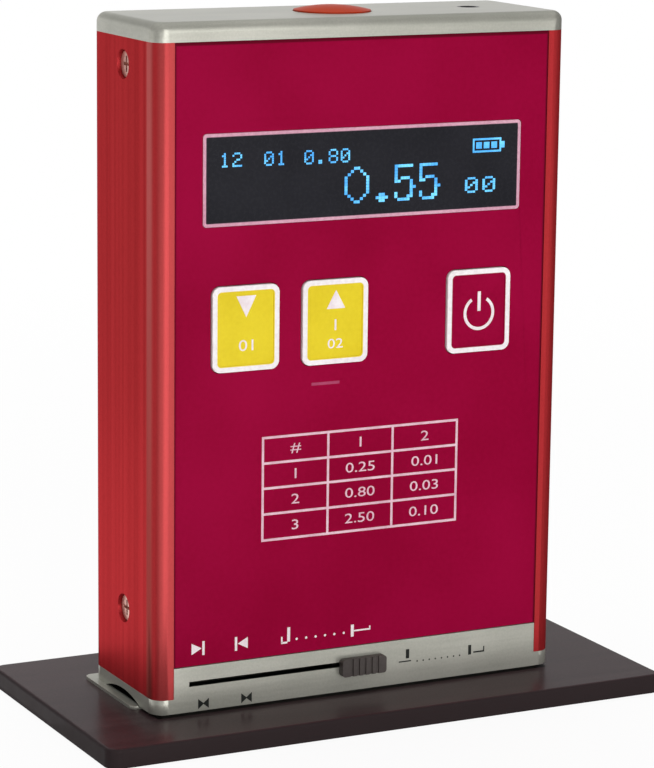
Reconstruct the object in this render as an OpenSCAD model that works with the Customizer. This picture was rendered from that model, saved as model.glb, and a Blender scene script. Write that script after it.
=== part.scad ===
// Pocket surface roughness tester standing on its plate.
// Millimetres, +Z up, front towards -Y, origin under the middle of the stand plate.

/* [Stand plate] */
// Width of the stand plate
plate_w = 96.5; // [84:0.5:120]
// Depth of the stand plate
plate_d = 49; // [36:0.5:70]
// Thickness of the stand plate
plate_t = 3; // [2:0.5:6]
// Corner radius of the stand plate
plate_corner_r = 2; // [1:0.5:6]
// Radius along the stand plate's upper edge
plate_edge_r = 0.5; // [0.2:0.1:0.9]
// How far left of the plate's middle the tester stands
stand_left = 1.1; // [0:0.1:3]
// How far forward of the plate's middle the tester stands
stand_forward = 1.2; // [0:0.1:3]

/* [Body shell] */
// Width of the tester
body_w = 70; // [70:1:80]
// Depth of the tester
body_d = 24; // [24:0.5:30]
// Height of the tester from its foot to the top cap
body_h = 106; // [102:1:124]
// Radius of the extrusion's upright corners
corner_r = 2.3; // [1.6:0.1:4]
// Thickness of the side and back walls
wall_t = 2; // [1.6:0.1:2.4]
// Thickness of the front wall behind the overlay
front_wall_t = 1.5; // [1.3:0.1:2]
// Distance from each side of the body to the overlay's edge
overlay_inset = 3.2; // [2.6:0.1:5]
// Thickness of the overlay
overlay_t = 0.5; // [0.3:0.1:0.8]
// Depth of the overlay's surface below the front of the extrusion
overlay_sink = 0.1; // [0:0.05:0.3]

/* [End caps] */
// Thickness of the top cap's plate
cap_h = 2.95; // [2.4:0.05:4]
// Radius along the top cap's upper edge
cap_edge_r = 1.5; // [0.4:0.1:2]
// Height of the bottom cap's foot flange
flange_h = 2.8; // [2.6:0.1:4]
// Height of the thin tread under the foot flange
tread_h = 0.5; // [0.2:0.1:0.6]
// How far the tread stands out at the left and at the back
tread_out = 1.2; // [0.6:0.1:1.6]
// Height of the bottom cap's front apron
apron_h = 7.7; // [7.5:0.1:10]
// Thickness of the sole under the shutter
sole_t = 1.4; // [1.2:0.1:1.8]
// Length of the notch in the foot's left side
notch_l = 13.5; // [8:0.5:16]
// Height of the notch in the foot's left side, above the tread
notch_h = 1.2; // [0.6:0.1:1.3]

/* [Display and keys] */
// Width of the display window
window_w = 54.3; // [44:0.1:58]
// Height of the display window
window_h = 14; // [11:0.5:16]
// Distance of the display window's middle below the top
window_drop = 23.65; // [20:0.05:26]
// Width of a key
key_w = 11.1; // [9:0.1:12.5]
// Height of a key
key_h = 13.1; // [10:0.1:14]
// Corner radius of a key
key_r = 1.3; // [0.6:0.1:2.5]
// Width of the raised rim round a key
key_rim_w = 0.95; // [0.6:0.05:1.5]
// Distance of the middle of the keys below the window's middle
key_drop = 22.65; // [19:0.05:26]
// Distance from the down key to the up key
key_pitch = 15.1; // [13.5:0.1:17]
// Distance from the middle of the body to the down and power keys
key_reach = 20.1; // [18:0.1:22]
// How far a key stands out of the overlay's surface
key_proud = 0.4; // [0.35:0.05:0.8]
// Travel of a key
key_travel = 0.3; // [0.2:0.05:0.35]

/* [Start button and socket] */
// Diameter of the start button
start_dia = 12; // [9:0.5:13]
// Height of the start button's straight side above the cap
start_side = 0.2; // [0.2:0.05:0.8]
// Height of the start button's dome
start_dome = 0.75; // [0.4:0.05:1.5]
// Travel of the start button
start_travel = 0.8; // [0.4:0.1:1]
// Distance of the charging socket right of the middle
socket_x = 24; // [22:0.5:25]
// Outside diameter of the charging socket's nose
socket_nose_dia = 3.5; // [3.3:0.1:4.5]
// Diameter of the charging socket's bore
socket_bore_dia = 2.6; // [2:0.1:2.8]

/* [Shutter] */
// Travel of the shutter
shutter_travel = 27; // [24:0.5:27]
// Width of the shutter's knob
knob_w = 7.7; // [7:0.1:10]
// Height of the shutter's knob
knob_h = 2.8; // [2.4:0.1:3.4]
// How far the knob's middle lies right of its stem's
knob_right = 0.4; // [0:0.1:0.6]
// How far the knob's middle lies below the slot's
knob_drop = 0.4; // [0:0.1:0.5]
// How far the shutter's knob stands out of the apron
knob_proud = 1.3; // [0.8:0.1:2]
// Height of the shutter's slot above the foot
slot_z = 4.9; // [4.6:0.1:5.2]
// Height of the shutter's slot
slot_h = 0.8; // [0.8:0.1:1.4]

/* [Drive] */
// Length that the stylus traverses
traverse = 6; // [4:0.5:6]
// Diameter of the lead screw
screw_dia = 3; // [2.6:0.1:3.4]
// Diameter of the guide rods
rod_dia = 2.5; // [2:0.1:3]
// Diameter of the drive motor
motor_dia = 12; // [10:0.5:12]

/* [Side screws] */
// Head diameter of the side screws
side_head_dia = 4.1; // [3.6:0.1:4.6]
// Shank diameter of the side screws
side_shank_dia = 2.4; // [2:0.1:2.5]
// Height of the lower side screws above the foot
side_low_z = 14.7; // [12:0.1:16]
// Distance of the upper side screws below the top cap's plate
side_drop = 4.1; // [3.5:0.1:5]

/* [Hidden] */
$fn = 64;

// Clearances, and how far a cut runs past what it cuts
seat_gap = 0.1;
slide_gap = 0.15;
running_gap = 0.04;
press_gap = 0.01;
free_gap = 0.15;
past = 1;

// Planes of the body
side_x = body_w / 2;
front_y = -body_d / 2;
back_y = body_d / 2;
inner_x = side_x - wall_t;
inner_back = back_y - wall_t;
recess_y = front_y + overlay_sink + overlay_t;
inner_front = recess_y + front_wall_t;
inner_r = 1;
shell_z0 = flange_h;
shell_z1 = body_h - cap_h;
overlay_half = side_x - overlay_inset;
overlay_gap = 0.05;

// Display stack, from the window back to the main board
window_z = body_h - window_drop;
window_r = 0.6;
window_pocket = 0.5;
window_ledge = 2.5;
window_sill = 1.7;
active_w = window_w - 2 * window_ledge;
active_h = window_h - 2 * window_sill;
gasket_t = 0.5;
glass_t = 1.6;
glass_margin = 0.6;
carrier_t = 1;
carrier_side = 1.2;
carrier_end = 4;
connector_w = 20.4;
connector_h = 2.5;
connector_t = 1.4;
glass_y = inner_front + gasket_t;
carrier_y = glass_y + glass_t;
connector_y = carrier_y + carrier_t;

// Main board, and the extruded ribs that hold its edges
board_t = 1.6;
board_y = connector_y + connector_t;
board_back = board_y + board_t;
rib_reach = 1.6;
rib_t = 1;
rib_ys = [board_y - seat_gap - rib_t, board_back + seat_gap];
board_edge_gap = 0.6;
board_top_gap = 0.5;
board_half = inner_x - board_edge_gap;
board_z0 = 33;

// Keys
key_z = window_z - key_drop;
key_xs = [-key_reach, key_pitch - key_reach, key_reach];
key_t = overlay_t + key_proud;
key_gap = 0.15;
key_rim_h = 0.12;
dome_dia = 7;
dome_flat_dia = 3;
dome_h = 0.15;
key_pocket = key_travel + dome_h + 0.05;

// Small pan-head screws in posts and pillars
pan_dia = 1.6;
pan_head_dia = 2.2;
pan_head_t = 0.9;
pan_grip = 4.5;
pan_hole_l = 5;
pan_free = 0.2;

// Start button, its switch and the small board below the top cap
button_flange = 1;
button_flange_t = 1;
button_z0 = shell_z1 - slide_gap - button_flange_t;
stem_dia = 4;
switch_board_t = 1.2;
switch_drop = 9.5;
switch_board_z = shell_z1 - switch_drop;
switch_z = switch_board_z + switch_board_t;
switch_w = 6;
switch_h = 2.6;
switch_floor = 0.3;
plunger_dia = 3;
plunger_l = 2.2;
plunger_z0 = switch_z + switch_floor + start_travel + 0.2;
plunger_z1 = plunger_z0 + plunger_l;
post_dia = 4;
post_y = 6;
post_gap = 1;
post_span = 9;
post_xs = [-start_dia / 2 - button_flange - post_gap, socket_x - post_span];
socket_w = 6;
socket_d = 6.6;
socket_h = 7;
switch_edge = 0.4;
switch_board_x = [post_xs[0] - post_dia / 2 - 1, socket_x + socket_w / 2 + 1.4];
switch_board_y = [-socket_d / 2 - seat_gap, post_y + post_dia / 2 + switch_edge];
board_z1 = switch_board_z - pan_head_t - board_top_gap;

// Charging socket
socket_bore_l = 9;

// Lugs of the caps that take the side screws, and the lip of the top cap
lug_y = [rib_ys[1] + rib_t + 0.3, 2.4];
lug_t = 3.2;
lug_x = inner_x - slide_gap;
lug_past = 3.3;
side_high_z = shell_z1 - side_drop;
head_sink = 0.6;
head_t = 0.8;
head_room = 0.2;
shank_room = 0.15;
bore_sink = head_sink + head_t;
side_screw_l = 3.6;
cross_l = 2.4;
cross_w = 0.5;
cross_depth = 0.5;
lip_half = overlay_half - 4;
lip_t = 1;
lip_h = 1.6;

// Bottom cap
cavity_x = inner_x - 2;
cavity_front = front_y + 2.1;
cavity_back = inner_back - 1.4;
apron_t = 1.7;
tread_in = 1.4;
tread_front = front_y + 6;
skirt_y = [cavity_back + free_gap, inner_back - slide_gap];
skirt_z = 9.5;
pillar_r = 1.6;
pillar_x = cavity_x - 2.8;
pillar_y = inner_back - 1.8;
notch_y = 0.3;
notch_r = (notch_l * notch_l / 4 + notch_h * notch_h) / (2 * notch_h);
notch_depth = 3.5;

// Drive along X: motor plate, coupling, left plate, carriage, right plate
drive_x = -9;
motor_plate_t = 1.5;
upright_t = 2;
coupling_l = 4;
coupling_room = 0.5;
carriage_l = 14;
carriage_room = 2.5;
end_room = 3.5;
motor_plate_x = [drive_x, drive_x + motor_plate_t];
coupling_x0 = motor_plate_x[1] + coupling_room;
coupling_x = [coupling_x0, coupling_x0 + coupling_l];
coupling_mid = coupling_x0 + coupling_l / 2;
left_plate_x0 = coupling_x[1] + coupling_room;
left_plate_x = [left_plate_x0, left_plate_x0 + upright_t];
carriage_x0 = left_plate_x[1] + carriage_room;
carriage_x = [carriage_x0, carriage_x0 + carriage_l];
right_plate_x0 = carriage_x[1] + traverse + end_room;
right_plate_x = [right_plate_x0, right_plate_x0 + upright_t];

// Drive frame
frame_back = inner_back - seat_gap;
frame_t = 1.2;
frame_web_y = frame_back - frame_t;
frame_z = [skirt_z, 27];
upright_z = [10, 25];
upright_front = -1.5;
foot_t = 1.5;
foot_half = 1.7;
foot_front = pillar_y - pillar_r;

// Motor, lead screw and guide rods
screw_y = 2;
screw_z = 17;
journal_dia = 2;
journal_end = 0.5;
bush_dia = 4;
bush_flange_dia = 5.4;
bush_flange_t = 0.5;
screw_end_gap = 0.2;
screw_inset = bush_flange_t + screw_end_gap;
screw_x = [left_plate_x[1] + screw_inset, right_plate_x[0] - screw_inset];
coupling_dia = 5;
motor_shaft_dia = 1.5;
motor_shaft_in = 2.5;
gearbox_l = 9;
can_l = 10.2;
can_boss_dia = 4;
can_boss_l = 0.6;
nose_dia = 4;
motor_screw_dia = 1.4;
motor_screw_head_dia = 2.2;
motor_screw_head_t = 0.4;
motor_screw_l = 3.5;
motor_screw_hole_l = 2.5;
motor_screw_r = motor_dia / 2 - 1.7;
rod_end = 1;
rod_zs = [screw_z - 4.5, screw_z + 4.5];
limit_gap = 0.3;
limit_y = [upright_front, upright_front + 2.6];
limit_z = [upright_z[1] - 4.4, upright_z[1] - 0.6];

// Carriage
carriage_front = -1;
carriage_back = frame_web_y - 0.4;
carriage_z = [10, 24];
rod_line_y = carriage_back - 2.3;
shelf_t = 2;
ear_t = 1;
ear_gap = 0.3;
ear_l = 4.5;
ear_z0 = 6.3;
nut_dia = 6;
nut_l = 8;
screw_room = 0.3;

// Pickup and stylus, measured from the pickup's pivot
pivot_x = carriage_x[0] + 2;
pivot_z = 8;
pivot_dia = 1.5;
pickup_tail = 1.6;
pickup_reach = 18.5;
pickup_x = [pivot_x - pickup_tail, pivot_x + pickup_reach];
pickup_half = 2;
pickup_z = [5.5, 8.9];
ear_out = pickup_half + ear_gap + ear_t;
lever_reach = 8;
lever_x = pivot_x + lever_reach;
lever_z = 4.7;
lever_pin_dia = 0.6;
lever_half = 0.4;
lever_h = 0.6;
lever_boss_dia = 1.3;
lever_ear_l = 2;
lever_ear_half = 1.2;
lever_ear_gap = 0.1;
lever_ear_z0 = 4;
tip_reach = 16;
tip_x = pivot_x + tip_reach;
tip_z = 3.3;
tip_point_dia = 0.1;
tip_cone_h = 0.45;
tip_shank_dia = 0.7;
lever_x1 = tip_x + 0.6;
skid_x = tip_x + 1.7;
skid_dia = 1.4;
skid_z = 3.9;

// Window in the sole, which the lowered stylus and skid run in
sole_window_x = [tip_x - 3.2, tip_x + traverse + 1.8];
sole_window_half = 2.6;

// Shutter
shutter_t = 0.4;
shutter_z = [sole_t + 0.05, sole_t + 0.05 + shutter_t];
shutter_tab_half = 3.5;
shutter_tab_t = 0.5;
shutter_tab_top = 0.8;
shutter_x = [-shutter_tab_half, sole_window_x[1] + 2];
shutter_front = cavity_front + 0.3;
shutter_back = 6;
rail_y = shutter_back + seat_gap;
rail_w = 1;
rail_lip = 0.9;
rail_lip_z = [shutter_z[1] + seat_gap, shutter_z[1] + seat_gap + 0.55];
stem_half = 2.1;
stem_gap = 0.1;
slot_x = [-shutter_travel - stem_half - stem_gap, stem_half + stem_gap];
slot_span_z = [slot_z - slot_h / 2, slot_z + slot_h / 2];
knob_r = 0.5;
knob_grooves = 5;
groove_w = 0.5;
groove_depth = 0.25;
apron_gap = 0.05;

// Battery
battery_w = 36;
battery_t = 5.4;
battery_r = 2;
battery_rise = 7;
battery_z = board_z0 + battery_rise;
battery_gap = 4.65;
battery_l = switch_board_z - pan_head_t - battery_gap - battery_z;
battery_pad_t = 0.6;
battery_pad_in = 3;

// Shared shapes

// Rectangle with four round corners, centred.
module round_rect(w, h, r) {
    square([w - 2 * r, h], center = true);
    square([w, h - 2 * r], center = true);
    for (x = [-1, 1], y = [-1, 1])
        translate([x * (w / 2 - r), y * (h / 2 - r)]) circle(r);
}

// Rectangle between two corners.
module span_rect(x, y) {
    translate([x[0], y[0]]) square([x[1] - x[0], y[1] - y[0]]);
}

// Box between its limits along X, Y and Z.
module span_box(x, y, z) {
    translate([x[0], y[0], z[0]]) cube([x[1] - x[0], y[1] - y[0], z[1] - z[0]]);
}

// Rounded plate that stands upright, facing the front, from y0 back by t.
module upright_plate(w, h, r, y0, t) {
    translate([0, y0 + t, 0]) rotate([90, 0, 0]) linear_extrude(t) round_rect(w, h, r);
}

// Plate with round corners and a rounded upper edge, standing on z = 0.
module soft_plate(w, d, h, r, edge) {
    module edge_profile(half) {
        span_rect([0, half - edge], [0, h]);
        span_rect([0, half], [0, h - edge]);
        translate([half - edge, h - edge]) intersection() {
            circle(edge);
            square(edge);
        }
    }
    module full_profile(width) {
        for (side = [0, 1]) mirror([side, 0]) edge_profile(width / 2);
    }
    for (x = [-1, 1], y = [-1, 1])
        translate([x * (w / 2 - r), y * (d / 2 - r), 0]) rotate_extrude() edge_profile(r);
    translate([-(w / 2 - r), 0, 0]) rotate([90, 0, 90]) linear_extrude(w - 2 * r) full_profile(d);
    translate([0, d / 2 - r, 0]) rotate([90, 0, 0]) linear_extrude(d - 2 * r) full_profile(w);
}

// Cylinder along X between two limits.
module bar_x(x, d) {
    translate([x[0], 0, 0]) rotate([0, 90, 0]) cylinder(d = d, h = x[1] - x[0]);
}

// Cylinder along Y between two limits.
module bar_y(y, d) {
    translate([0, y[0], 0]) rotate([-90, 0, 0]) cylinder(d = d, h = y[1] - y[0]);
}

// Puts the tester on the plate, with its foot on the plate's top.
module standing() {
    translate([-stand_left, -stand_forward, plate_t]) children();
}

module at_drive() {
    translate([0, screw_y, screw_z]) children();
}

module at_keys() {
    for (x = key_xs) translate([x, 0, key_z]) children();
}

// Each side screw's own axis, from the side's surface, with +Z out of the body.
module at_side_screws() {
    for (side = [-1, 1], z = [side_low_z, side_high_z])
        translate([side * side_x, 0, z]) rotate([0, side * 90, 0]) children();
}

// Stand

module base_plate() {
    color([0.16, 0.14, 0.14]) soft_plate(plate_w, plate_d, plate_t, plate_corner_r, plate_edge_r);
}

// Housing

module shell_profile() {
    difference() {
        round_rect(body_w, body_d, corner_r);
        translate([0, (inner_front + inner_back) / 2])
            round_rect(2 * inner_x, inner_back - inner_front, inner_r);
        span_rect([-overlay_half, overlay_half], [front_y - past, recess_y]);
    }
    for (x = [inner_x - rib_reach, -inner_x - wall_t / 2], y = rib_ys)
        span_rect([x, x + rib_reach + wall_t / 2], [y, y + rib_t]);
}

// Key-shaped cut from y0 back by t, with a key's clearance all round.
module key_cuts(y0, t) {
    at_keys() upright_plate(key_w + 2 * key_gap, key_h + 2 * key_gap, key_r + key_gap, y0, t);
}

// Window-shaped cut from y0 back by t, with the overlay's clearance all round.
module window_cut(y0, t) {
    translate([0, 0, window_z])
        upright_plate(window_w + 2 * overlay_gap, window_h + 2 * overlay_gap, window_r, y0, t);
}

module body_shell() {
    color([0.66, 0.13, 0.15]) difference() {
        translate([0, 0, shell_z0]) linear_extrude(shell_z1 - shell_z0) shell_profile();
        span_box([-overlay_half, overlay_half], [front_y - past, inner_front + past], [0, apron_h]);
        window_cut(recess_y - past, window_pocket + past);
        translate([0, 0, window_z])
            upright_plate(active_w, active_h, window_r, recess_y, front_wall_t + past);
        key_cuts(recess_y - past, key_pocket + past);
        at_side_screws() {
            translate([0, 0, -bore_sink]) cylinder(d = side_head_dia + 2 * head_room, h = bore_sink + past);
            translate([0, 0, -wall_t - past])
                cylinder(d = side_shank_dia + 2 * shank_room, h = wall_t + past);
        }
    }
}

// Blocks inside both side walls, drilled for a side screw at hole_z.
module side_lugs(z, hole_z) {
    for (side = [0, 1]) mirror([side, 0, 0]) difference() {
        span_box([lug_x - lug_t, lug_x], lug_y, z);
        translate([0, 0, hole_z])
            bar_x([lug_x - lug_t - past, lug_x + past], side_shank_dia + 2 * press_gap);
    }
}

module top_cap() {
    through = cap_h + 2 * past;
    color([0.72, 0.73, 0.70]) {
        difference() {
            translate([0, 0, shell_z1]) soft_plate(body_w, body_d, cap_h, corner_r, cap_edge_r);
            translate([0, 0, shell_z1 - past]) {
                cylinder(d = start_dia + 2 * slide_gap, h = through);
                translate([socket_x, 0, 0]) cylinder(d = socket_nose_dia + 2 * running_gap, h = through);
            }
        }
        side_lugs([side_high_z - lug_past, shell_z1], side_high_z);
        for (y = [inner_front + slide_gap, inner_back - slide_gap - lip_t])
            span_box([-lip_half, lip_half], [y, y + lip_t], [shell_z1 - lip_h, shell_z1]);
        for (x = post_xs) translate([x, post_y, switch_z]) difference() {
            cylinder(d = post_dia, h = shell_z1 - switch_z);
            translate([0, 0, -past]) cylinder(d = pan_dia + 2 * press_gap, h = pan_hole_l + past);
        }
    }
}

// Thin tread: set in under the flange, with a lip that stands out at the left and at the back.
module tread() {
    lip_x = [-side_x - tread_out, side_x - corner_r];
    lip_y = [tread_front, back_y + tread_out];
    linear_extrude(sole_t)
        round_rect(body_w - 2 * tread_in, body_d - 2 * tread_in, corner_r - tread_in);
    translate([(lip_x[0] + lip_x[1]) / 2, (lip_y[0] + lip_y[1]) / 2, 0])
        linear_extrude(tread_h) round_rect(lip_x[1] - lip_x[0], lip_y[1] - lip_y[0], tread_out);
}

// Flat-bottomed arch in the foot's left side, standing on the tread.
module foot_notch() {
    translate([-side_x - past, 0, 0]) rotate([90, 0, 90]) linear_extrude(past + notch_depth)
        intersection() {
            translate([notch_y, tread_h + notch_h - notch_r]) circle(notch_r, $fn = 180);
            span_rect([notch_y - notch_l, notch_y + notch_l], [tread_h, tread_h + 2 * notch_h]);
        }
}

module bottom_cap() {
    apron_half = overlay_half - overlay_gap;
    window_y = [-sole_window_half, sole_window_half];
    color([0.70, 0.71, 0.68]) {
        difference() {
            union() {
                tread();
                translate([0, 0, tread_h])
                    linear_extrude(flange_h - tread_h) round_rect(body_w, body_d, corner_r);
                span_box([-apron_half, apron_half], [front_y, front_y + apron_t],
                    [flange_h - past, apron_h - overlay_gap]);
            }
            span_box([-cavity_x, cavity_x], [cavity_front, cavity_back], [sole_t, flange_h + past]);
            span_box(slot_x, [front_y - past, cavity_front + past], slot_span_z);
            span_box(sole_window_x, window_y, [-past, sole_t + past]);
            foot_notch();
        }
        side_lugs([flange_h, side_low_z + lug_past], side_low_z);
        // Rear rail, with the lip that keeps the shutter down
        span_box([-cavity_x, cavity_x], [rail_y, rail_y + rail_w], [sole_t, rail_lip_z[1]]);
        span_box([-cavity_x, cavity_x], [rail_y - rail_lip, rail_y], rail_lip_z);
        // Rear skirt, and the pillars under the feet of the drive frame
        difference() {
            union() {
                span_box([-cavity_x, cavity_x], skirt_y, [flange_h, skirt_z]);
                for (side = [-1, 1]) translate([side * pillar_x, pillar_y, sole_t])
                    cylinder(r = pillar_r, h = skirt_z - sole_t);
            }
            for (side = [-1, 1]) translate([side * pillar_x, pillar_y, skirt_z - pan_hole_l])
                cylinder(d = pan_dia + 2 * press_gap, h = pan_hole_l + past);
        }
    }
}

// Cheese-head side screws, sunk in the shell's counterbores, with a cross recess.
module side_screws() {
    color([0.78, 0.78, 0.76]) at_side_screws() translate([0, 0, -bore_sink]) {
        difference() {
            cylinder(d = side_head_dia, h = head_t);
            translate([0, 0, head_t]) for (a = [0, 90]) rotate(a)
                cube([cross_l, cross_w, 2 * cross_depth], center = true);
        }
        translate([0, 0, -side_screw_l]) cylinder(d = side_shank_dia, h = side_screw_l);
    }
}

// Front

module front_overlay() {
    half = overlay_half - overlay_gap;
    y0 = recess_y - overlay_t;
    color([0.58, 0.02, 0.20]) difference() {
        span_box([-half, half], [y0, recess_y], [apron_h + overlay_gap, shell_z1 - overlay_gap]);
        window_cut(y0 - past, overlay_t + 2 * past);
        key_cuts(y0 - past, overlay_t + 2 * past);
    }
}

module display_window() {
    color([0.10, 0.11, 0.14]) translate([0, 0, window_z])
        upright_plate(window_w, window_h, window_r, recess_y - overlay_t, overlay_t + window_pocket);
}

module display_gasket() {
    color([0.12, 0.12, 0.12]) translate([0, 0, window_z]) difference() {
        upright_plate(window_w, window_h, window_r, inner_front, gasket_t);
        upright_plate(active_w, active_h, window_r, inner_front - past, gasket_t + 2 * past);
    }
}

module display_module() {
    color([0.05, 0.05, 0.07]) translate([0, 0, window_z]) {
        glass_w = window_w + 2 * glass_margin;
        carrier_w = window_w + 2 * carrier_side;
        upright_plate(glass_w, window_h + 2 * glass_margin, window_r, glass_y, glass_t);
        upright_plate(carrier_w, window_h + 2 * carrier_end, window_r, carrier_y, carrier_t);
    }
}

module display_connector() {
    z1 = window_z - window_h / 2 - glass_margin;
    color([0.10, 0.10, 0.10])
        span_box([-connector_w / 2, connector_w / 2], [connector_y, board_y], [z1 - connector_h, z1]);
}

// Key pad with a raised rim; its back lies on the plane of the overlay's back.
module key_pad(colour) {
    y0 = recess_y - key_t;
    color(colour) difference() {
        upright_plate(key_w, key_h, key_r, y0, key_t);
        upright_plate(key_w - 2 * key_rim_w, key_h - 2 * key_rim_w, key_r / 2, y0 - past, past + key_rim_h);
    }
}

module key_down() {
    translate([key_xs[0], 0, key_z]) key_pad([0.88, 0.80, 0.12]);
}

module key_up() {
    translate([key_xs[1], 0, key_z]) key_pad([0.88, 0.80, 0.12]);
}

module key_power() {
    translate([key_xs[2], 0, key_z]) key_pad([0.58, 0.02, 0.20]);
}

module key_domes() {
    color([0.75, 0.76, 0.78]) at_keys() translate([0, recess_y + key_pocket, 0]) rotate([90, 0, 0])
        cylinder(d1 = dome_dia, d2 = dome_flat_dia, h = dome_h);
}

// Electronics

module main_board() {
    color([0.05, 0.30, 0.16])
        span_box([-board_half, board_half], [board_y, board_back], [board_z0, board_z1]);
}

module board_components() {
    // Each entry: middle X, height above the board's lower edge, width, height and thickness
    chips = [[0, 29, 10, 10, 1.2], [-18, 33, 8, 6, 1.1], [16, 22, 6, 8, 1.1], [-16, 15, 5, 11, 1.2],
        [20, 41, 7, 4, 1.3], [-24, 5, 8, 4, 1.3]];
    color([0.12, 0.12, 0.13]) for (c = chips) translate([c[0], board_back, board_z0 + c[1]])
        span_box([-c[2] / 2, c[2] / 2], [0, c[4]], [-c[3] / 2, c[3] / 2]);
}

module battery_cell() {
    color([0.22, 0.36, 0.62]) translate([0, 0, battery_z + battery_l / 2])
        upright_plate(battery_w, battery_l, battery_r, inner_back - battery_pad_t - battery_t, battery_t);
}

module battery_pad() {
    w = battery_w - 2 * battery_pad_in;
    l = battery_l - 2 * battery_pad_in;
    color([0.20, 0.20, 0.20]) translate([0, 0, battery_z + battery_l / 2])
        upright_plate(w, l, battery_r, inner_back - battery_pad_t, battery_pad_t);
}

// Pan-head screw along +Z, with its head below z = 0.
module pan_screw(d, head_dia, head_t, l) {
    translate([0, 0, -head_t]) cylinder(d = head_dia, h = head_t);
    cylinder(d = d, h = l);
}

module switch_board() {
    color([0.05, 0.30, 0.16]) difference() {
        span_box(switch_board_x, switch_board_y, [switch_board_z, switch_z]);
        for (x = post_xs) translate([x, post_y, switch_board_z - past])
            cylinder(d = pan_dia + pan_free, h = switch_board_t + 2 * past);
    }
}

module switch_board_screws() {
    color([0.75, 0.76, 0.78]) for (x = post_xs) translate([x, post_y, switch_board_z])
        pan_screw(pan_dia, pan_head_dia, pan_head_t, pan_grip + switch_board_t);
}

module start_switch() {
    half = switch_w / 2;
    color([0.12, 0.12, 0.13]) translate([0, 0, switch_z]) difference() {
        span_box([-half, half], [-half, half], [0, switch_h]);
        translate([0, 0, switch_floor]) cylinder(d = plunger_dia + 2 * running_gap, h = switch_h);
    }
}

module switch_plunger() {
    color([0.85, 0.82, 0.74]) translate([0, 0, plunger_z0]) cylinder(d = plunger_dia, h = plunger_l);
}

module start_button() {
    r = start_dia / 2;
    top = body_h + start_side + start_dome;
    dome_r = (r * r + start_dome * start_dome) / (2 * start_dome);
    color([0.80, 0.25, 0.13]) rotate_extrude() {
        intersection() {
            span_rect([0, r], [button_z0, top]);
            translate([0, top - dome_r]) circle(dome_r, $fn = 180);
        }
        span_rect([0, r + button_flange], [button_z0, button_z0 + button_flange_t]);
        span_rect([0, stem_dia / 2], [plunger_z1, button_z0 + button_flange_t]);
    }
}

module charge_socket() {
    color([0.08, 0.08, 0.09]) translate([socket_x, 0, switch_z]) difference() {
        union() {
            span_box([-socket_w / 2, socket_w / 2], [-socket_d / 2, socket_d / 2], [0, socket_h]);
            cylinder(d = socket_nose_dia, h = body_h - switch_z);
        }
        translate([0, 0, body_h - switch_z - socket_bore_l])
            cylinder(d = socket_bore_dia, h = socket_bore_l + past);
    }
}

// Shutter

module shutter_knob() {
    y0 = front_y - knob_proud;
    knob_z = slot_z - knob_drop;
    groove_pitch = (knob_w - 2 * knob_r) / (knob_grooves + 1);
    color([0.25, 0.24, 0.24]) {
        difference() {
            translate([knob_right, 0, knob_z])
                upright_plate(knob_w, knob_h, knob_r, y0, knob_proud - apron_gap);
            for (i = [1 : knob_grooves])
                translate([knob_right + knob_r - knob_w / 2 + i * groove_pitch, y0, knob_z])
                    cube([groove_w, 2 * groove_depth, knob_h + past], center = true);
        }
        span_box([-stem_half, stem_half], [front_y - knob_proud / 2, shutter_front],
            [slot_span_z[0] + stem_gap, slot_span_z[1] - stem_gap]);
    }
}

module shutter_plate() {
    color([0.70, 0.71, 0.73]) {
        span_box(shutter_x, [shutter_front, shutter_back], shutter_z);
        span_box([-shutter_tab_half, shutter_tab_half], [shutter_front, shutter_front + shutter_tab_t],
            [shutter_z[0], slot_span_z[1] + shutter_tab_top]);
    }
}

// Drive

module drive_frame() {
    color([0.60, 0.61, 0.63]) difference() {
        union() {
            span_box([-pillar_x - foot_half, pillar_x + foot_half], [frame_web_y, frame_back], frame_z);
            for (x = [motor_plate_x, left_plate_x, right_plate_x])
                span_box(x, [upright_front, frame_back], upright_z);
            for (x = [-pillar_x, pillar_x])
                span_box([x - foot_half, x + foot_half], [foot_front, frame_back],
                    [frame_z[0], frame_z[0] + foot_t]);
        }
        at_drive() {
            bar_x([motor_plate_x[0] - past, motor_plate_x[1] + past], nose_dia + 2 * running_gap);
            for (side = [-1, 1]) translate([0, 0, side * motor_screw_r])
                bar_x([motor_plate_x[0] - past, motor_plate_x[1] + past], motor_screw_dia + pan_free);
            bar_x([left_plate_x[0] - past, right_plate_x[1] + past], bush_dia + 2 * press_gap);
        }
        for (z = rod_zs) translate([0, rod_line_y, z])
            bar_x([left_plate_x[0] - past, right_plate_x[1] + past], rod_dia + 2 * press_gap);
        // Screw holes in the feet, and grooves in the web for the heads and a driver
        for (x = [-pillar_x, pillar_x]) translate([x, pillar_y, frame_z[0]]) {
            translate([0, 0, -past]) cylinder(d = pan_dia + pan_free, h = foot_t + 2 * past);
            translate([0, 0, foot_t]) cylinder(d = pan_head_dia + pan_free, h = frame_z[1]);
        }
    }
}

module frame_screws() {
    color([0.75, 0.76, 0.78]) for (x = [-pillar_x, pillar_x])
        translate([x, pillar_y, frame_z[0] + foot_t]) rotate([180, 0, 0])
            pan_screw(pan_dia, pan_head_dia, pan_head_t, pan_grip + foot_t);
}

module drive_motor() {
    x1 = motor_plate_x[0] - gearbox_l;
    color([0.74, 0.75, 0.76]) at_drive() {
        bar_x([x1 - can_l, x1], motor_dia);
        bar_x([x1 - can_l - can_boss_l, x1], can_boss_dia);
    }
}

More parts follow.
